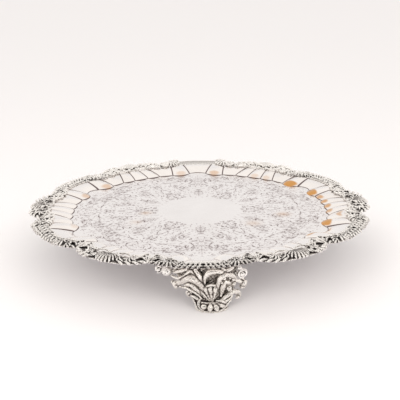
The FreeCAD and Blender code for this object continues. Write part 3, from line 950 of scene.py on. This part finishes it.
def make_foot_mesh():
    """A cast bracket: leaves sweeping left and right out of a small shell over a rounded toe."""
    casting = Casting()
    rings = []
    sides = ((0.4, -3.5, 17.5), (4.0, -5.3, 19.2), (7.0, -5.8, 21.3), (10.7, -8.5, 22.5), (16.0, -11.5, 24.0),
             (24.0, -17.0, 25.5), (32.0, -20.5, 26.0), (40.0, -22.0, 27.0))
    for z, left, right in sides:
        xs = np.linspace(left, right, 14)
        front = [foot_front(x, z, 0.9) for x in xs]
        back = [(x, foot_front(x, z, 0.0)[1] + 2.2, z) for x in xs[::-1]]
        rings.append(front + back)
    casting.add_rings(rings)
    # toe
    lip = [(TOE + 12.1 * math.cos(a), -121.5 - 6.0 * math.sin(a), 1.3)
           for a in np.linspace(-0.25, math.pi + 0.25, 40)]
    casting.tube(lip, 1.0)
    around = np.linspace(0, 2 * math.pi, 32, endpoint=False)
    casting.add_rings([[(TOE + 11.4 * grow * math.cos(a), -121.0 - 6.9 * math.sin(a), z) for a in around]
                       for z, grow in ((0.05, 0.96), (2.0, 1.04), (4.5, 1.08), (7.0, 1.06), (8.6, 0.98))])
    casting.ball(foot_front(0.6, 5.2, 2.4), (2.4, 2.0, 2.3))
    folds = (
        # toe
        (((-1.6, 11.2, 2.0), (-3.4, 7.9, 2.8), (-2.8, 4.6, 2.4), (0.0, 2.2, 2.4)), 0.7, 1.1, 0.9),
        (((6.0, 7.6, 2.2), (5.6, 5.4, 2.4), (5.2, 3.2, 2.4)), 1.2, 2.2, 2.2),
        (((8.6, 7.4, 2.2), (9.8, 5.4, 2.4), (10.6, 3.4, 2.4)), 1.2, 2.2, 2.2),
        (((10.8, 7.6, 2.2), (13.2, 6.2, 2.5), (15.6, 4.8, 2.2)), 1.0, 2.0, 1.7),
        (((10.6, 9.0, 1.8), (14.0, 9.0, 2.8), (17.4, 7.2, 2.4)), 0.9, 1.6, 1.3),
        (((-8.6, 10.6, 1.2), (-7.2, 8.6, 1.5), (-5.8, 5.5, 1.8), (-3.9, 2.2, 2.0), (-0.1, 1.1, 2.4),
          (6.0, 1.0, 2.6), (12.2, 1.1, 2.4), (16.2, 3.3, 2.0), (19.4, 5.9, 1.7), (21.8, 7.6, 1.4)),
         0.7, 0.8, 0.8),
        # shell over the toe
        (((6.8, 7.6, 1.4), (3.0, 13.0, 3.0), (-0.6, 17.6, 3.6), (-2.0, 20.0, 3.2)), 0.6, 1.3, 1.5),
        (((6.8, 7.6, 1.6), (4.6, 14.0, 3.4), (2.0, 20.0, 4.2), (1.0, 22.6, 3.6)), 0.6, 1.5, 1.8),
        (((6.8, 7.6, 1.6), (6.4, 14.0, 3.6), (5.4, 20.6, 4.4), (5.0, 22.8, 3.8)), 0.6, 1.5, 1.8),
        (((6.8, 7.6, 1.6), (8.4, 14.0, 3.4), (9.4, 19.6, 4.2), (9.8, 21.8, 3.6)), 0.6, 1.4, 1.7),
        # the broad leaf on the left
        (((3.6, 13.6, 2.0), (0.6, 20.0, 3.8), (-2.8, 26.3, 5.2), (-7.4, 30.6, 6.2), (-11.8, 30.4, 6.0),
          (-15.6, 26.6, 5.0), (-18.6, 24.2, 4.4)), 0.9, 2.8, 2.2),
        (((1.6, 12.0, 1.8), (-1.6, 16.4, 3.2), (-5.4, 20.8, 4.6), (-9.8, 24.6, 5.2), (-14.2, 23.6, 4.6)),
         0.7, 1.8, 1.5),
        (((-0.8, 10.8, 1.8), (-4.0, 14.6, 3.0), (-7.7, 17.6, 3.8), (-12.2, 20.2, 4.2), (-16.0, 19.4, 3.2)),
         0.6, 1.3, 1.1),
        (((-2.2, 8.6, 1.6), (-5.8, 11.6, 2.6), (-9.2, 12.8, 2.4)), 0.8, 1.4, 1.1),
        # the broad leaf on the right
        (((10.2, 14.6, 2.0), (11.4, 24.0, 4.6), (13.3, 30.2, 5.6), (17.3, 33.0, 6.0), (22.3, 31.2, 5.4),
          (25.2, 27.0, 4.4)), 0.8, 2.2, 1.8),
        (((13.8, 12.6, 2.0), (14.9, 20.0, 4.2), (16.9, 25.6, 4.8), (20.4, 24.0, 4.2)), 0.9, 2.2, 1.7),
        (((11.6, 7.8, 1.8), (14.8, 9.8, 2.4), (18.5, 12.9, 3.6), (23.4, 15.1, 4.2), (27.2, 13.4, 3.8),
          (28.4, 10.3, 3.2), (26.8, 8.4, 3.0)), 1.2, 2.1, 1.8),
        (((15.0, 8.0, 2.0), (19.0, 8.6, 2.8), (22.6, 11.0, 2.6)), 0.7, 1.2, 1.0),
        # scrolls under the tray
        (((1.2, 25.0, 3.4), (1.5, 31.2, 5.0), (4.5, 36.0, 5.8), (9.4, 37.0, 6.2), (14.4, 35.6, 5.6)),
         1.1, 2.0, 1.7),
        (((2.4, 22.8, 4.0), (6.0, 24.6, 5.0), (10.2, 23.4, 4.6)), 0.9, 1.2, 0.9),
        (((-23.4, 29.6, 3.4), (-19.6, 28.6, 4.2), (-14.6, 31.2, 4.4), (-9.8, 36.2, 4.2), (-7.3, 34.4, 3.6)),
         1.1, 1.2, 1.0),
        (((-22.0, 33.0, 3.0), (-16.8, 35.8, 4.0), (-12.4, 37.4, 3.8)), 0.9, 1.4, 1.1),
        (((-5.6, 37.4, 3.8), (-3.0, 33.6, 4.6), (-1.2, 29.2, 4.6), (0.0, 26.2, 4.0)), 1.4, 1.9, 1.2),
        (((-8.0, 40.2, 2.4), (-1.5, 40.6, 3.2), (4.0, 40.0, 2.8)), 0.9, 1.2, 1.0),
        (((14.8, 37.6, 3.6), (18.3, 35.8, 4.6), (22.9, 37.4, 4.4)), 1.1, 1.6, 1.3),
        (((13.6, 40.6, 2.6), (18.9, 40.8, 3.4), (24.0, 39.0, 3.0)), 0.9, 1.3, 1.1),
        (((-22.0, 37.0, 2.0), (-16.0, 39.2, 3.0), (-10.4, 40.4, 2.6)), 0.9, 1.3, 1.1),
        # stems of the tips that stand clear of the plate
        (((-15.0, 25.0, 3.0), (-18.0, 24.0, 3.6), (-20.6, 22.6, 4.0)), 1.8, 2.2, 2.2),
        (((23.0, 25.0, 2.6), (27.4, 23.6, 2.8), (31.0, 20.6, 3.2)), 1.2, 1.5, 1.9),
        (((26.6, 31.0, 1.6), (30.4, 26.0, 1.6), (31.2, 21.0, 2.8)), 1.2, 1.2, 1.6),
    )
    for knots, root, middle, tip in folds:
        fold(casting, knots, root, middle, tip)
    # curled tips and small scrolls
    tips = (
        (-20.6, 22.4, 4.4, (3.1, 2.2, 2.8)), (-23.0, 23.6, 3.8, 1.6), (-20.9, 18.8, 3.8, (1.5, 1.5, 2.2)),
        (-17.8, 21.2, 4.0, 1.6), (14.2, 25.8, 5.0, 1.2), (16.4, 29.2, 5.0, 1.4), (23.4, 27.4, 4.8, 1.6),
        (24.0, 22.6, 4.2, 1.6), (31.6, 20.6, 3.6, (3.2, 2.6, 3.0)), (31.0, 17.4, 3.4, (2.8, 2.2, 2.2)),
        (20.6, 29.0, 4.6, 1.3),
    )
    for x, z, lift, size in tips:
        casting.ball(foot_front(x, z, lift), size)
    casting.volute(foot_front(-11.3, 14.4, 2.8), 2.5, 0.8, (0.1, -1, 0.1), 90.0, hand=1)
    casting.volute(foot_front(20.6, 19.4, 4.4), 2.1, 0.75, (0, -1, 0.1), 120.0, hand=-1)
    top = foot_curve((-20.0, 41.4, 0.6), (0.0, 41.8, 1.2), (24.0, 41.4, 0.6), count=50)
    casting.tube(top, 1.0, FOOT_OUT)
    return casting.fused("foot_mesh", FOOT_VOXEL, 1)


def make_boss_mesh(side, place):
    """A boss on a short arm: a ball with a volute beside it on the left, an open volute on the right."""
    casting = Casting()
    place = np.asarray(place, float)
    if side == "left":
        casting.ball(place, (4.1, 4.0, 3.9))
        casting.volute(place + np.array((-6.4, 3.2, 0.4)), 2.9, 1.0, (0, -1, 0), 90.0, hand=1)
    else:
        casting.volute(place, 3.5, 1.3, (0.1, -1, 0), 60.0, hand=-1)
        casting.ball(place + np.array((0.5, 2.6, 0.0)), (3.2, 1.6, 3.2))
        casting.ball(place + np.array((-2.6, 0.6, 4.2)), (2.0, 1.6, 1.6))
    inward = 1 if side == "left" else -1
    steps = ((0.0, 0.0, 0.0), (4.0, 2.4, -0.8), (8.0, 2.8, -1.6))
    casting.tube([place + np.array((inward * x, y, z)) for x, y, z in steps], 1.5)
    return casting.fused(f"boss_{side}_mesh", FOOT_VOXEL, 1)


def add_node(tree, kind, settings, inputs):
    """A shader node with its settings, and with a value or a link on each of the named inputs."""
    node = tree.nodes.new(kind)
    for key, value in settings.items():
        setattr(node, key, value)
    for key, value in inputs.items():
        if isinstance(value, bpy.types.NodeSocket):
            tree.links.new(value, node.inputs[key])
        else:
            node.inputs[key].default_value = value
    return node


def silver(name, tones, polish, grain, chasing=0.06):
    """Silver whose colour follows its mesh's marks, from 0 on ridges to 1 in hollows and cuts, with faint
    wear in its colour and its polish, and copper where the mesh says. The dark of hollows and creases is
    partly tarnish and partly painted shade, and on the border's outward faces painted shade; the copper is
    painted reflection on the flutes and stain on the flat. tones is (mark, colour) pairs."""
    material = bpy.data.materials.new(name)
    material.use_nodes = True
    tree = material.node_tree
    mark = add_node(tree, "ShaderNodeAttribute", {"attribute_name": "mark"}, {}).outputs["Fac"]
    warm = add_node(tree, "ShaderNodeAttribute", {"attribute_name": "warm"}, {}).outputs["Fac"]
    place = add_node(tree, "ShaderNodeTexCoord", {}, {}).outputs["Object"]
    cloud = add_node(tree, "ShaderNodeTexNoise", {}, {"Vector": place, "Scale": WORN_SCALE, "Detail": 4.0})
    cloud = cloud.outputs["Fac"]
    ramp = add_node(tree, "ShaderNodeValToRGB", {}, {"Fac": mark})
    while len(ramp.color_ramp.elements) < len(tones):
        ramp.color_ramp.elements.new(0.5)
    for element, (position, colour) in zip(ramp.color_ramp.elements, tones):
        element.position = position
        element.color = (*colour, 1.0)
    worn = add_node(tree, "ShaderNodeMix", {"data_type": "RGBA", "blend_type": "MULTIPLY"},
                    {"Factor": cloud, "A": ramp.outputs["Color"], "B": (*WORN, 1.0)})
    # copper-coloured painted reflections on the flutes, stains on the flat
    tint = add_node(tree, "ShaderNodeMix", {"data_type": "RGBA"},
                    {"Factor": warm, "A": worn.outputs["Result"], "B": (*COPPER_REFLECTION_AND_STAIN, 1.0)})
    gloss = add_node(tree, "ShaderNodeMapRange", {}, {"Value": cloud, "From Min": 0.3, "From Max": 0.7,
                                                      "To Min": polish[0], "To Max": polish[1]})
    dull = add_node(tree, "ShaderNodeMix", {},
                    {"Factor": mark, "A": gloss.outputs["Result"], "B": HOLLOW_ROUGHNESS})
    scratches = add_node(tree, "ShaderNodeTexNoise", {}, {"Vector": place, "Scale": grain, "Detail": 3.0})
    bump = add_node(tree, "ShaderNodeBump", {}, {"Height": scratches.outputs["Fac"], "Strength": chasing,
                                                 "Distance": BUMP_HEIGHT})
    shader = tree.nodes["Principled BSDF"]
    shader.inputs["Metallic"].default_value = 1.0
    tree.links.new(tint.outputs["Result"], shader.inputs["Base Color"])
    tree.links.new(dull.outputs["Result"], shader.inputs["Roughness"])
    tree.links.new(bump.outputs["Normal"], shader.inputs["Normal"])
    return material


def place_piece(name, mesh, material, nodes, turn=0.0):
    """A piece of the object, turned about the tray's axis and standing for its CAD nodes."""
    piece = bpy.data.objects.new(name, mesh)
    piece.rotation_euler.z = math.radians(turn)
    bpy.context.scene.collection.objects.link(piece)
    if not mesh.materials:
        mesh.materials.append(material)
    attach(piece, "root")
    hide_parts(*nodes)
    return piece


def build_object():
    sheet = silver("silver_sheet", SHEET_TONES, (0.14, 0.2), 900.0)
    edging = silver("silver_border", BORDER_TONES, (0.12, 0.2), 900.0, 0.4)
    # The back sections' lighter metal is a painted highlight
    highlit_border_metal = silver("silver_border_back_highlight", BACK_HIGHLIGHT_TONES, (0.12, 0.2), 900.0, 0.4)
    eyes = silver("silver_boss", BOSS_TONES, (0.08, 0.14), 700.0, 0.2)
    cast = silver("silver_casting", FOOT_TONES, (0.1, 0.18), 700.0, 0.4)
    place_piece("tray_sheet", make_tray(draw_engraving().depth_map()), sheet, ["tray"])
    shell, foot = make_border_shell_mesh(), make_foot_mesh()
    back_shell = shell.copy()
    arcs = make_border_arc_mesh("foot_arc"), make_border_arc_mesh("arc")
    back_arc = make_border_arc_mesh("arc", plain=True)
    for k in range(SECTORS):
        mesh, metal = (back_shell, highlit_border_metal) if k in BACK_SHELLS else (shell, edging)
        place_piece(f"shell_section_{k + 1}", mesh, metal, [f"border_shell_{k + 1}"],
                    SECTOR * k)
        mesh, metal = (back_arc, highlit_border_metal) if k == BACK_ARC else (arcs[k % 2], edging)
        place_piece(f"arc_section_{k + 1}", mesh, metal, [f"border_arc_{k + 1}"],
                    SECTOR * k + HALF)
    bosses = {side: make_boss_mesh(side, place) for side, place in BOSSES.items()}
    for k in range(FEET):
        node, turn = f"foot_{k + 1}", 360.0 / FEET * k
        place_piece(f"foot_casting_{k + 1}", foot, cast, [node], turn)
        for side, mesh in bosses.items():
            place_piece(f"foot_casting_{k + 1}_boss_{side}", mesh, eyes,
                        [f"{node}_boss_{side}"], turn)


def plain_material(name, colour, rough):
    material = bpy.data.materials.new(name)
    material.use_nodes = True
    shader = material.node_tree.nodes["Principled BSDF"]
    shader.inputs["Base Color"].default_value = (*colour, 1.0)
    shader.inputs["Roughness"].default_value = rough
    shader.inputs["Specular IOR Level"].default_value = 0.2
    return material


def place_surface(name, points, faces, material):
    mesh = bpy.data.meshes.new(name)
    mesh.from_pydata(points, [], faces)
    mesh.materials.append(plain_material(material, FLOOR_COLOUR, 0.9))
    surface = bpy.data.objects.new(name, mesh)
    bpy.context.scene.collection.objects.link(surface)
    return surface


def square(height):
    size = FLOOR_SIZE
    return [(-size, -size, height), (size, -size, height), (size, size, height), (-size, size, height)]


def build_floor():
    floor = place_surface("floor", square(0.0), [(0, 1, 2, 3)], "paper")


def build_wall():
    """A plain wall at the floor's edge, so that a low camera sees no dark studio over the floor. Nothing else
    sees it: the silver goes on reflecting the studio."""
    faces = [(k, (k + 1) % 4, (k + 1) % 4 + 4, k + 4) for k in range(4)]
    wall = place_surface("wall", square(0.0) + square(WALL_HEIGHT), faces, "painted")
    wall.visible_glossy = False
    wall.visible_diffuse = False
    wall.visible_shadow = False


def place_lamp(name, light, place):
    """A lamp aimed at the tray's place, lighting the floor only: the silver reflects the world alone."""
    lamp = bpy.data.objects.new(name, light)
    lamp.location = place
    lamp.rotation_euler = (-Vector(place)).to_track_quat("-Z", "Y").to_euler()
    lamp.visible_glossy = False
    bpy.context.scene.collection.objects.link(lamp)


def build_lamps():
    sun = bpy.data.lights.new("sky", "SUN")
    sun.energy = SUN
    sun.angle = math.radians(SUN_ANGLE)
    place_lamp("sky", sun, (0.0, 0.2, 2.0))
    for name, place, size, power in FILLS:
        light = bpy.data.lights.new(name, "AREA")
        light.shape = "RECTANGLE"
        light.size, light.size_y = size
        light.energy = power
        light.color = LAMP_COLOUR
        place_lamp(name, light, place)


def build_world():
    """A studio as patches of light round the object, each a direction, two angles between which it fades out,
    and its colour, laid one over another on a plain ground."""
    world = bpy.data.worlds.new("studio")
    bpy.context.scene.world = world
    world.use_nodes = True
    tree = world.node_tree
    place = add_node(tree, "ShaderNodeTexCoord", {}, {}).outputs["Generated"]
    light = (*BACKDROP, 1.0)
    for direction, (full, gone), colour in STUDIO:
        dot = add_node(tree, "ShaderNodeVectorMath", {"operation": "DOT_PRODUCT"},
                       {0: place, 1: Vector(direction).normalized()})
        fade = add_node(tree, "ShaderNodeMapRange", {"interpolation_type": "SMOOTHSTEP"},
                        {"Value": dot.outputs["Value"], "From Min": math.cos(math.radians(gone)),
                         "From Max": math.cos(math.radians(full))})
        mix = add_node(tree, "ShaderNodeMix", {"data_type": "RGBA"},
                       {"Factor": fade.outputs["Result"], "A": light, "B": (*colour, 1.0)})
        light = mix.outputs["Result"]
    tree.links.new(light, tree.nodes["Background"].inputs["Color"])


def build_camera():
    camera = bpy.data.cameras.new("camera")
    camera.sensor_width = 36.0
    camera.lens = LENS
    camera.shift_x, camera.shift_y = SHIFT
    camera.clip_start = 0.01
    eye = bpy.data.objects.new("camera", camera)
    azimuth, elevation = math.radians(CAMERA_AZIMUTH), math.radians(CAMERA_ELEVATION)
    back = Vector((math.sin(azimuth) * math.cos(elevation), -math.cos(azimuth) * math.cos(elevation),
                   math.sin(elevation)))
    target = Vector((0, 0, FLAT_TOP * MM))
    eye.location = target + back * CAMERA_DISTANCE
    roll = Quaternion(back, math.radians(CAMERA_ROLL))
    eye.rotation_euler = (roll @ back.to_track_quat("Z", "Y")).to_euler()
    bpy.context.scene.collection.objects.link(eye)
    bpy.context.scene.camera = eye


build_object()
build_floor()
build_wall()
build_world()
build_lamps()
build_camera()
bpy.context.scene.view_settings.view_transform = "Standard"

bpy.context.view_layer.update()
